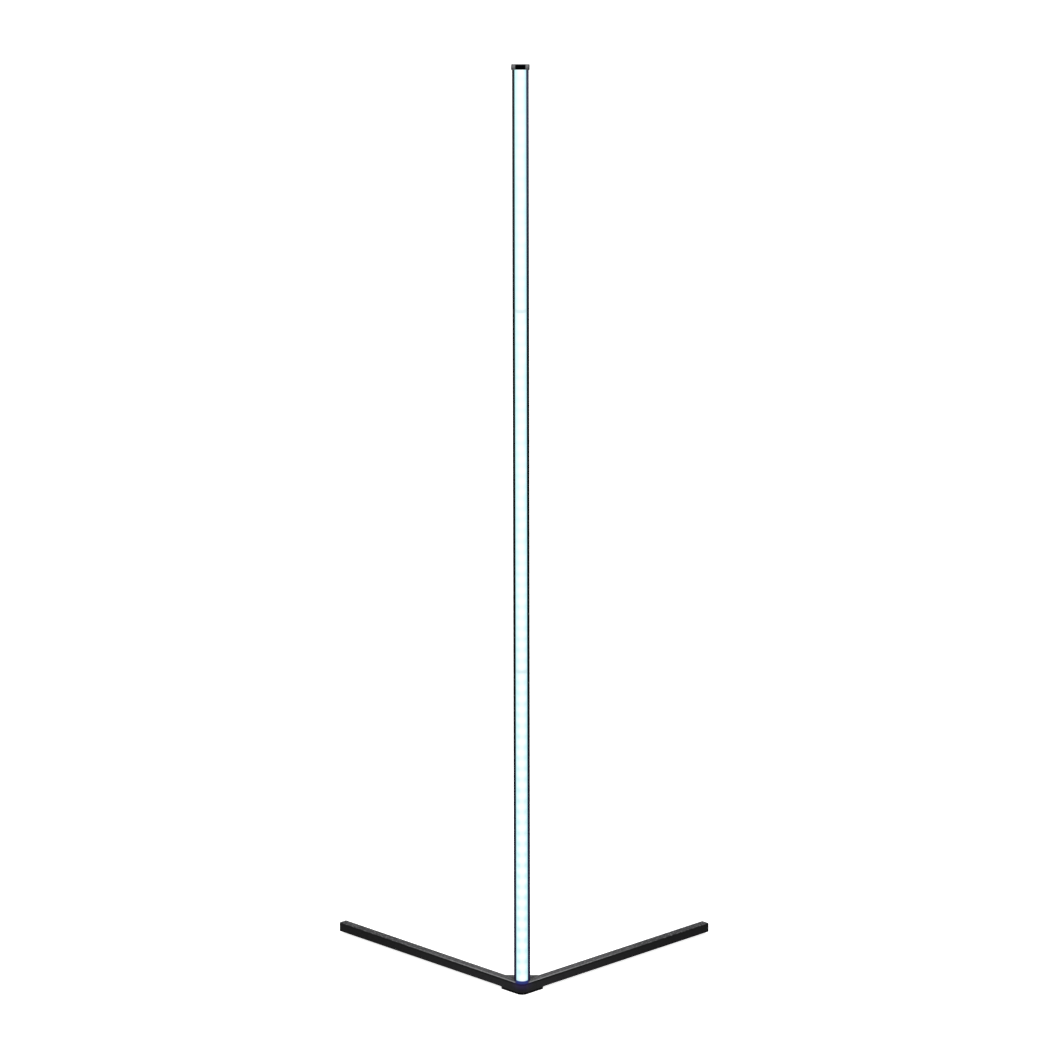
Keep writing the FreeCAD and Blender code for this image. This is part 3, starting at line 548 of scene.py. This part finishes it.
@dataclass(frozen=True)
class CapPlastic:
    """Moulded cap: a polished black middle between two rougher shoulders painted grey as a highlight, painted
    shade at their outer ends, and a painted highlight along the back edge of the top.
    """

    name: str
    back: float
    polished: Colour = (0.0008, 0.0008, 0.0012)
    # painted highlight: the shoulders' grey, mottled by clouds
    painted_shoulder_highlight: Colour = (0.088, 0.088, 0.094)
    # painted shade at the outer ends of the shoulders
    rim: Colour = (0.012, 0.012, 0.014)
    # painted highlight along the back edge of the top
    painted_back_highlight: Colour = (0.058, 0.058, 0.064)
    shoulder: Fade = Fade(6.9 * MM, 8.2 * MM)
    to_painted_shade_rim: Fade = Fade(10.4 * MM, 12.2 * MM)
    to_back: Fade = Fade(-5.6 * MM, -4.0 * MM)
    cloud_share: float = 0.7
    clouds_per_m: float = 260.0
    cloud_depth: float = 0.01 * MM
    cloud_roughness: Spread = Spread(0.08)
    grain_per_m: float = 1800.0
    grain_depth: float = 0.04 * MM
    grain_roughness: Spread = Spread(0.15)
    detail: float = 3.0
    satin_roughness: float = 0.5
    satin_gloss: float = 0.25
    polished_roughness: float = 0.3

    def material(self) -> bpy.types.Material:
        """Return the material."""
        shader = Shader.of_material(self.name)
        vector, across, along, _ = shader.place()
        grain = shader.noise(vector, self.grain_per_m, self.detail)
        clouds = shader.noise(vector, self.clouds_per_m, self.detail)
        from_middle = abs(across)
        # painted highlight on the shoulders
        painted_shoulder_highlight = shader.blend(self.painted_shoulder_highlight, dimmed(self.painted_shoulder_highlight, self.cloud_share), clouds)
        # painted shade towards the outer ends of the shoulders
        dull = shader.surface({
            "Base Color": shader.blend(painted_shoulder_highlight, self.rim, self.to_painted_shade_rim.of(from_middle)),
            "Roughness": self.satin_roughness + self.grain_roughness.of(grain),
            "Specular IOR Level": self.satin_gloss,
            "Normal": shader.bump(grain, self.grain_depth),
        })
        bright = shader.surface({
            # painted highlight along the back edge of the top
            "Base Color": shader.blend(self.polished, self.painted_back_highlight, self.to_back.of(along, self.back)),
            "Roughness": self.polished_roughness + self.cloud_roughness.of(clouds),
            "Specular IOR Level": 0.0,
            "Normal": shader.bump(clouds, self.cloud_depth),
        })
        shares = {0: self.shoulder.of(from_middle), 1: bright, 2: dull}
        return shader.finish(shader.node("ShaderNodeMixShader", {}, shares))


@dataclass(frozen=True)
class Rubber:
    """Matt black rubber with a pebbled skin and a little dust."""

    name: str
    colour: Colour = (0.0012, 0.0012, 0.0014)
    dust: Colour = (0.0090, 0.0090, 0.0090)
    dust_per_m: float = 180.0
    dust_detail: float = 6.0
    dust_seen: Fade = Fade(0.5, 0.8)
    dust_roughness: Spread = Spread(0.16)
    pebbles_per_m: float = 1300.0
    pebble_detail: float = 1.0
    pebble_depth: float = 0.08 * MM
    roughness: float = 0.82
    gloss: float = 0.05

    def material(self) -> bpy.types.Material:
        """Return the material."""
        shader = Shader.of_material(self.name)
        vector, _, _, _ = shader.place()
        pebbles = shader.noise(vector, self.pebbles_per_m, self.pebble_detail)
        dusting = shader.noise(vector, self.dust_per_m, self.dust_detail)
        surface = shader.surface({
            "Base Color": shader.blend(self.colour, self.dust, self.dust_seen.of(dusting)),
            "Roughness": self.roughness + self.dust_roughness.of(dusting),
            "Specular IOR Level": self.gloss,
            "Normal": shader.bump(pebbles, self.pebble_depth),
        })
        return shader.finish(surface)


@dataclass(frozen=True)
class LitSilicone:
    """Milky silicone with the light strip glowing through it, one soft spot for each chip.

    Places across are shares of the half width, and strengths grow from the top to the foot.
    """

    name: str
    foot: float
    top: float
    first_chip: float
    chip_pitch: float
    half_width: float
    left_flank: Colour = (0.62, 0.93, 0.93)
    right_flank: Colour = (0.58, 0.90, 0.97)
    core: Colour = (0.90, 0.985, 0.985)
    spot: Colour = (1.0, 0.985, 0.995)
    valley: Colour = (0.52, 0.84, 0.86)
    seam: Colour = (0.55, 0.72, 0.76)
    rim: Colour = (0.30, 0.62, 0.72)
    leak: Colour = (0.004, 0.018, 0.300)
    body: Colour = (0.10, 0.11, 0.11)
    brightness: float = 0.96
    roughness: float = 0.42
    gloss: float = 0.2
    skin_per_m: float = 700.0
    skin_depth: float = 0.02 * MM
    skin_roughness: Spread = Spread(0.2)
    wobble_per_m: float = 42.0
    wobble: Spread = Spread(0.5)
    middle: float = 0.06
    to_right: Fade = Fade(-0.4, 0.5)
    core_across: Fade = Fade(0.92, 0.40)
    valley_across: Fade = Fade(0.15, 0.62)
    valley_top: float = 0.12
    valley_gain: float = 0.62
    valley_middle: float = 0.25
    spot_across: Fade = Fade(0.58, 0.16)
    spot_top: float = 0.45
    spot_gain: float = 0.55
    cut_every: int = 3
    first_cut: float = 1.5
    cut_wave: Fade = Fade(0.93, 1.0)
    cut_share: float = 0.10
    joints: tuple[int, int] = (9, 20)
    joint_wide: Fade = Fade(0.07, 0.03)
    joint_share: float = 0.6
    rim_across: Fade = Fade(0.88, 1.0)
    rim_share: float = 0.7
    at_foot: Fade = Fade(1.2 * MM, 0.8 * MM)

    def material(self) -> bpy.types.Material:
        """Return the material."""
        shader = Shader.of_material(self.name)
        vector, across, _, height = shader.place()
        skin = shader.noise(vector, self.skin_per_m)
        surface = shader.surface({
            "Base Color": self.body,
            "Roughness": self.roughness + self.skin_roughness.of(skin),
            "Specular IOR Level": self.gloss,
            "Emission Color": self._glow(shader, vector, across, height),
            "Emission Strength": self.brightness,
            "Normal": shader.bump(skin, self.skin_depth),
        })
        return shader.finish(surface)

    def _glow(self, shader: Shader, vector: Socket, across: Socket, height: Socket) -> Socket:
        """Return the colour of the light that comes through.

        Args:
            shader: The shader to build in.
            vector: The surface point.
            across: Its X.
            height: Its Z.

        Returns:
            Spots in front of the chips, cooler flanks, and duller bands at cuts and joints.
        """
        chips = (height - self.first_chip) / self.chip_pitch
        wave = 0.5 + 0.5 * (chips * math.tau).cosine()
        place = across / self.half_width + self.wobble.of(shader.noise(vector, self.wobble_per_m))
        from_middle = abs(place - self.middle)
        downward = height.smooth(self.top, self.foot)
        colour = shader.blend(self.left_flank, self.right_flank, self.to_right.of(place))
        colour = shader.blend(colour, self.core, self.core_across.of(from_middle))
        between = (1.0 - wave) * (self.valley_top + self.valley_gain * downward)
        sideways = self.valley_middle * downward + self.valley_across.of(from_middle)
        colour = shader.blend(colour, self.valley, between * sideways)
        strength = self.spot_top + self.spot_gain * downward
        colour = shader.blend(colour, self.spot, wave ** 2 * self.spot_across.of(from_middle) * strength)
        cuts = (chips - self.first_cut) / self.cut_every
        cut_lines = self.cut_wave.of((cuts * math.tau).cosine())
        colour = shader.blend(colour, self.seam, cut_lines * self.cut_share)
        for joint in self.joints:
            colour = shader.blend(colour, self.seam, self.joint_wide.of(abs(cuts - joint)) * self.joint_share)
        at_rim = self.rim_across.of(abs(across) / self.half_width)
        colour = shader.blend(colour, self.rim, at_rim * self.rim_share)
        return shader.blend(colour, self.leak, self.at_foot.of(height, self.foot))


@dataclass(frozen=True)
class Metal:
    """Bare or plated metal with fine scratches."""

    name: str
    colour: Colour
    roughness: float
    stretch: Colour = (1.0, 1.0, 1.0)
    scratches_per_m: float = 1800.0
    scratch_detail: float = 3.0
    scratch_depth: float = 0.01 * MM
    scratch_roughness: Spread = Spread(0.2)
    stain_per_m: float = 150.0
    stain_detail: float = 4.0
    stain_share: float = 0.72
    stain_seen: Fade = Fade(0.4, 0.75)
    stain_roughness: Spread = Spread(0.1)

    def material(self) -> bpy.types.Material:
        """Return the material."""
        shader = Shader.of_material(self.name)
        vector, _, _, _ = shader.place()
        scratches = shader.noise(vector, self.scratches_per_m, self.scratch_detail, self.stretch)
        stain = shader.noise(vector, self.stain_per_m, self.stain_detail)
        darker = dimmed(self.colour, self.stain_share)
        unevenness = self.scratch_roughness.of(scratches) + self.stain_roughness.of(stain)
        surface = shader.surface({
            "Base Color": shader.blend(self.colour, darker, self.stain_seen.of(stain)),
            "Metallic": 1.0,
            "Roughness": self.roughness + unevenness,
            "Normal": shader.bump(scratches, self.scratch_depth),
        })
        return shader.finish(surface)


@dataclass(frozen=True)
class Coated:
    """Small painted, printed or insulated part: one colour with faint mottling."""

    name: str
    colour: Colour
    roughness: float = 0.45
    glow: float = 0.0
    grain_per_m: float = 1600.0
    grain_detail: float = 3.0
    grain_depth: float = 0.02 * MM
    grain_share: float = 0.8
    grain_seen: Fade = Fade(0.35, 0.75)
    grain_roughness: Spread = Spread(0.2)

    def material(self) -> bpy.types.Material:
        """Return the material."""
        shader = Shader.of_material(self.name)
        vector, _, _, _ = shader.place()
        grain = shader.noise(vector, self.grain_per_m, self.grain_detail)
        darker = dimmed(self.colour, self.grain_share)
        colour = shader.blend(self.colour, darker, self.grain_seen.of(grain))
        surface = shader.surface({
            "Base Color": colour,
            "Roughness": self.roughness + self.grain_roughness.of(grain),
            "Emission Color": colour,
            "Emission Strength": self.glow,
            "Normal": shader.bump(grain, self.grain_depth),
        })
        return shader.finish(surface)


Finish = Union[PowderCoat, AnodisedChannel, MouldedPlastic, CapPlastic, Rubber, LitSilicone, Metal, Coated]


# ---------------------------------------------------------------- sub-assemblies


class Slot(Enum):
    """Material slots of the record, one of which is handed to each new piece."""

    CHIP = "led_chip"
    COPPER = "contact_brass"
    SOLDER = "nut_nickel"


@dataclass
class SubAssembly:
    """A group of the lamp's parts that are dressed together."""

    nodes: dict[str, bpy.types.Object]
    edge_width: float = 0.25 * MM
    edge_segments: int = 2
    edge_angle: float = math.radians(40)

    def dress(self, names: list[str], finish: Finish, rounded: bool = True) -> None:
        """Give parts of the model a finish, and round their sharp edges a little.

        Args:
            names: The parts' names.
            finish: What they are finished with.
            rounded: Whether their edges are rounded.
        """
        material = finish.material()
        for name in names:
            part = self.nodes[name]
            for slot in part.material_slots:
                slot.material = material
            if rounded:
                bevel = part.modifiers.new("eased_edges", "BEVEL")
                bevel.width = self.edge_width
                bevel.segments = self.edge_segments
                bevel.limit_method = "ANGLE"
                bevel.angle_limit = self.edge_angle
                bevel.harden_normals = True
            log.info("%s: %s", name, finish.name)

    def piece(self, name: str, mesh: bmesh.types.BMesh, finish: Finish, slot: Slot) -> bpy.types.Object:
        """Turn built geometry into a piece that rides on the lamp.

        Args:
            name: The piece's name.
            mesh: Its geometry, freed afterwards.
            finish: What it is finished with.
            slot: Not used.

        Returns:
            The new object.
        """
        data = bpy.data.meshes.new(name)
        bmesh.ops.recalc_face_normals(mesh, faces=mesh.faces)
        mesh.to_mesh(data)
        mesh.free()
        made = bpy.data.objects.new(name, data)
        bpy.context.scene.collection.objects.link(made)
        data.materials.append(finish.material())
        data.polygons.foreach_set("use_smooth", [True] * len(data.polygons))
        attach(made, BODY)
        log.info("%s: %d faces, %s", name, len(data.polygons), finish.name)
        return made


def add_dome(mesh: bmesh.types.BMesh, centre: Vector, radius: float, rise: float, sides: int) -> None:
    """Add a low dome: a closed disc whose middle stands up towards -Y.

    Args:
        mesh: What to add to.
        centre: The middle of the flat side.
        radius: Of the rim.
        rise: Height of the middle.
        sides: Number of corners round the rim.
    """
    turn = Vector((0.0, -1.0, 0.0)).to_track_quat("Z", "Y").to_matrix().to_4x4()
    place = Matrix.Translation(centre) @ turn
    rings = []
    for share, lift in DOME_RINGS:
        ring = []
        for number in range(sides):
            angle = math.tau * number / sides
            point = Vector((radius * share * math.cos(angle), radius * share * math.sin(angle), rise * lift))
            ring.append(mesh.verts.new(place @ point))
        rings.append(ring)
    for lower, upper in zip(rings, rings[1:]):
        for number in range(sides):
            following = (number + 1) % sides
            mesh.faces.new((lower[number], lower[following], upper[following], upper[number]))
    crown = mesh.verts.new(place @ Vector((0.0, 0.0, rise)))
    for number in range(sides):
        mesh.faces.new((rings[-1][number], rings[-1][(number + 1) % sides], crown))
    mesh.faces.new(list(reversed(rings[0])))


def add_plate(mesh: bmesh.types.BMesh, low: Vector, high: Vector) -> None:
    """Add a thin rectangular plate between two corners.

    Args:
        mesh: What to add to.
        low: The lowest corner.
        high: The highest corner.
    """
    corners = [
        mesh.verts.new((x, y, z))
        for z in (low.z, high.z)
        for x, y in ((low.x, low.y), (high.x, low.y), (high.x, high.y), (low.x, high.y))
    ]
    for side in PLATE_SIDES:
        mesh.faces.new([corners[number] for number in side])


@dataclass
class FloorBase(SubAssembly):
    """The V of the base: corner bracket, two arms with their plugs and pads, and the screws."""

    setback: float = 26.0 * MM
    plug: MouldedPlastic = MouldedPlastic("plug_plastic")
    rubber: Rubber = Rubber("foot_rubber_skin")
    steel: Metal = Metal("blackened_steel", (0.05, 0.05, 0.055), 0.38)

    def build(self) -> None:
        """Dress the base's parts."""
        low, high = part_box("left_arm")
        width = high.z - low.z
        # the bracket carries the painted glow of the bar's light
        bracket = PowderCoat("bracket_powder_coat", high.z, self.setback, width, has_painted_glow=True)
        self.dress(["corner_bracket"], bracket)
        arms = PowderCoat("arm_powder_coat", high.z, self.setback, width)
        self.dress(["left_arm", "right_arm"], arms, rounded=False)
        self.dress(["left_arm_end_plug", "right_arm_end_plug"], self.plug)
        self.dress(["corner_foot", "left_arm_foot", "right_arm_foot"], self.rubber)
        screws = ["left_arm_screws", "right_arm_screws", "pole_base_screws"]
        self.dress(screws, self.steel, rounded=False)


@dataclass
class LightBar(SubAssembly):
    """The upright bar: three channel lengths, joiners, cap, silicone sleeve and light strip."""

    chip_pitch: float = 16.667 * MM
    mouth_half: float = 8.4 * MM
    window_radius: float = 1.9 * MM
    window_rise: float = 0.12 * MM
    window_sides: int = 14
    pad_width: float = 1.6 * MM
    pad_height: float = 1.2 * MM
    pad_rise: float = 1.8 * MM
    pad_thickness: float = 0.06 * MM
    pad_count: int = 4
    pad_step: float = 2.4 * MM
    chips_before_cut: int = 2
    chips_per_cut: int = 3
    joiner: Metal = Metal("mill_aluminium", (0.72, 0.73, 0.75), 0.32, stretch=(1.0, 1.0, 0.02))
    steel: Metal = Metal("zinc_steel", (0.16, 0.16, 0.17), 0.34)
    tape: Coated = Coated("white_solder_mask", (0.82, 0.83, 0.82), 0.4)
    housing: Coated = Coated("chip_housing", (0.85, 0.86, 0.84), 0.4, 0.6)
    resistor: Coated = Coated("resistor_glaze", (0.02, 0.02, 0.022), 0.3)
    phosphor: Coated = Coated("phosphor_window", (0.95, 0.93, 0.62), 0.25, 0.9)
    copper: Metal = Metal("pad_copper", (0.75, 0.42, 0.25), 0.3)

    def chip_heights(self) -> list[float]:
        """Return the heights of the light chips' middles."""
        low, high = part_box("led_chips")
        chip = high.x - low.x
        run = high.z - low.z - chip
        gaps = round(run / self.chip_pitch)
        return [low.z + chip / 2 + run * number / gaps for number in range(gaps + 1)]

    def build(self) -> None:
        """Dress the bar's parts, and add the chips' windows and the strip's pads."""
        low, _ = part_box("pole_lower")
        _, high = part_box("pole_upper")
        channel = AnodisedChannel("black_anodising", low.z, high.z)
        self.dress(["pole_lower", "pole_middle", "pole_upper"], channel, rounded=False)
        self.dress(["lower_joiner", "upper_joiner"], self.joiner)
        self.dress(["lower_joiner_screws", "upper_joiner_screws"], self.steel, rounded=False)
        _, cap_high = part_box("top_cap")
        self.dress(["top_cap"], CapPlastic("cap_plastic", back=cap_high.y))
        self._build_sleeve()
        self._build_strip()

    def _build_sleeve(self) -> None:
        """Dress the sleeve with its glow."""
        heights = self.chip_heights()
        low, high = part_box("diffuser_sleeve")
        pitch = heights[1] - heights[0]
        glow = LitSilicone("lit_silicone", low.z, high.z, heights[0], pitch, self.mouth_half)
        self.dress(["diffuser_sleeve"], glow, rounded=False)

    def _build_strip(self) -> None:
        """Dress the strip, and add a window on each chip and the pads at each cut."""
        self.dress(["led_tape"], self.tape, rounded=False)
        self.dress(["led_chips"], self.housing, rounded=False)
        self.dress(["led_resistors"], self.resistor, rounded=False)
        heights = self.chip_heights()
        chips_low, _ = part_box("led_chips")
        windows = bmesh.new()
        for height in heights:
            centre = Vector((0.0, chips_low.y, height))
            add_dome(windows, centre, self.window_radius, self.window_rise, self.window_sides)
        self.piece("chip_windows", windows, self.phosphor, Slot.CHIP)
        tape_low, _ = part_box("led_tape")
        pads = bmesh.new()
        cuts = range(self.chips_before_cut, len(heights), self.chips_per_cut)
        for number in cuts:
            middle = (heights[number - 1] + heights[number]) / 2
            for column in range(self.pad_count):
                across = (column - (self.pad_count - 1) / 2) * self.pad_step
                for level in (-1, 1):
                    height = middle + level * self.pad_rise
                    half = Vector((self.pad_width / 2, 0.0, self.pad_height / 2))
                    front = Vector((across, tape_low.y - self.pad_thickness, height))
                    back = Vector((across, tape_low.y, height))
                    add_plate(pads, front - half, back + half)
        self.piece("strip_pads", pads, self.copper, Slot.COPPER)


@dataclass
class PowerInlet(SubAssembly):
    """The round power inlet in the back of the base, with its nut, contacts and two leads."""

    lead_radius: float = 0.6 * MM
    bead_radius: float = 0.95 * MM
    bead_rise: float = 0.6 * MM
    bead_sides: int = 12
    plastic: MouldedPlastic = MouldedPlastic("inlet_plastic", (0.009, 0.009, 0.010), gloss=0.3)
    brass: Metal = Metal("nickelled_brass", (0.78, 0.66, 0.42), 0.25)
    nickel: Metal = Metal("nickel_plate", (0.66, 0.64, 0.60), 0.28)
    red: Coated = Coated("red_insulation", (0.42, 0.015, 0.012), 0.4)
    black: Coated = Coated("black_insulation", (0.012, 0.012, 0.013), 0.4)
    solder: Metal = Metal("solder", (0.72, 0.72, 0.74), 0.22)

    def build(self) -> None:
        """Dress the inlet's parts and add the solder beads on the strip."""
        self.dress(["dc_jack_body"], self.plastic, rounded=False)
        self.dress(["dc_jack_pin", "dc_jack_sleeve_tab"], self.brass, rounded=False)
        self.dress(["dc_jack_nut"], self.nickel, rounded=False)
        self.dress(["lead_positive"], self.red, rounded=False)
        self.dress(["lead_negative"], self.black, rounded=False)
        tape_low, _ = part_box("led_tape")
        beads = bmesh.new()
        for name in ("lead_positive", "lead_negative"):
            low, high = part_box(name)
            outer = low.x if abs(low.x) > abs(high.x) else high.x
            across = outer - math.copysign(self.lead_radius, outer)
            centre = Vector((across, tape_low.y, high.z))
            add_dome(beads, centre, self.bead_radius, self.bead_rise, self.bead_sides)
        self.piece("solder_beads", beads, self.solder, Slot.SOLDER)


# ---------------------------------------------------------------- studio


@dataclass(frozen=True)
class Lens:
    """Where the photograph was taken from, and with how long a lens."""

    place_mm: tuple[float, float, float] = (199.2, -16701.9, 5982.5)
    pitch: float = 0.3052
    turn: float = 0.0116
    roll: float = -0.0019
    focal_px: float = 12000.0
    picture_px: int = 1050
    sensor_mm: float = 36.0
    far: float = 200.0

    def build(self) -> None:
        """Create the camera and make it the scene's own."""
        cos_turn, sin_turn = math.cos(self.turn), math.sin(self.turn)
        cos_pitch, sin_pitch = math.cos(self.pitch), math.sin(self.pitch)
        right = Vector((cos_turn, sin_turn, 0.0))
        up = Vector((-sin_turn * sin_pitch, cos_turn * sin_pitch, cos_pitch))
        forward = Vector((-sin_turn * cos_pitch, cos_turn * cos_pitch, -sin_pitch))
        rolled_right = math.cos(self.roll) * right + math.sin(self.roll) * up
        rolled_up = math.cos(self.roll) * up - math.sin(self.roll) * right
        data = bpy.data.cameras.new("photograph_view")
        data.sensor_width = self.sensor_mm
        data.lens = self.focal_px / self.picture_px * self.sensor_mm
        data.clip_end = self.far
        camera = bpy.data.objects.new("photograph_view", data)
        matrix = Matrix((rolled_right, rolled_up, -forward)).transposed().to_4x4()
        matrix.translation = Vector(self.place_mm) * MM
        camera.matrix_world = matrix
        bpy.context.scene.collection.objects.link(camera)
        bpy.context.scene.camera = camera
        log.info("camera: %.0f mm lens", data.lens)


@dataclass(frozen=True)
class SoftLight:
    """One large soft lamp, aimed at a point."""

    name: str
    place: tuple[float, float, float]
    aim: tuple[float, float, float]
    width: float
    height: float
    power: float
    colour: Colour = (1.0, 1.0, 1.0)

    def build(self) -> None:
        """Create the lamp."""
        data = bpy.data.lights.new(self.name, "AREA")
        data.shape = "RECTANGLE"
        data.size = self.width
        data.size_y = self.height
        data.energy = self.power
        data.color = self.colour
        lamp = bpy.data.objects.new(self.name, data)
        lamp.location = self.place
        aim = Vector(self.aim) - Vector(self.place)
        lamp.rotation_euler = aim.to_track_quat("-Z", "Y").to_euler()
        lamp.visible_camera = False
        bpy.context.scene.collection.objects.link(lamp)


@dataclass(frozen=True)
class Studio:
    """Plain pale floor, even white surroundings and soft lamps."""

    floor_half: float = 60.0
    floor_colour: Colour = (0.80, 0.80, 0.80)
    floor_lift: float = 0.82  # the white that the floor adds where it is seen
    floor_drop: float = 0.1 * MM
    surroundings: float = 0.55
    lights: tuple[SoftLight, ...] = (
        SoftLight("softbox_left", (-2.6, -2.4, 2.6), (0.0, 0.0, 0.7), 2.0, 2.4, 46.0),
        SoftLight("softbox_right", (2.6, -2.2, 2.4), (0.0, 0.0, 0.7), 2.0, 2.4, 40.0),
        SoftLight("softbox_above", (0.0, 0.4, 3.6), (0.0, 0.0, 0.0), 2.4, 2.4, 50.0),
    )

    def build(self) -> None:
        """Create the floor, the surroundings and the lamps."""
        self._floor()
        self._surroundings()
        for light in self.lights:
            light.build()
        bpy.context.scene.view_settings.view_transform = "Standard"

    def _floor(self) -> None:
        """Create the floor just under the lamp."""
        mesh = bmesh.new()
        signs = ((-1, -1), (1, -1), (1, 1), (-1, 1))
        half = self.floor_half
        mesh.faces.new([mesh.verts.new((x * half, y * half, -self.floor_drop)) for x, y in signs])
        data = bpy.data.meshes.new("studio_floor")
        mesh.to_mesh(data)
        mesh.free()
        floor = bpy.data.objects.new("studio_floor", data)
        bpy.context.scene.collection.objects.link(floor)
        shader = Shader.of_material("pale_floor")
        seen = shader.seen_directly()
        surface = shader.surface({
            "Base Color": self.floor_colour,
            "Roughness": 1.0,
            "Specular IOR Level": 0.0,
            "Emission Color": shader.blend(BLACK, WHITE, seen),
            "Emission Strength": self.floor_lift,
        })
        data.materials.append(shader.finish(surface))

    def _surroundings(self) -> None:
        """Make the world white where it is seen, and moderate where it lights."""
        shader = Shader(bpy.data.worlds.new("white_surroundings"))
        level = self.surroundings + (1.0 - self.surroundings) * shader.seen_directly()
        back = shader.node("ShaderNodeBackground", {}, {"Strength": level})
        bpy.context.scene.world = shader.finish(back)


# ---------------------------------------------------------------- the whole lamp


def main() -> None:
    """Load the model, dress each sub-assembly and set up the studio."""
    logging.basicConfig(level=logging.INFO, format="%(message)s")
    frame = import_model()
    Lens().build()
    nodes = frame["nodes"]
    for sub_assembly in (FloorBase(nodes), LightBar(nodes), PowerInlet(nodes)):
        sub_assembly.build()
    Studio().build()


if __name__ == "__main__":
    main()
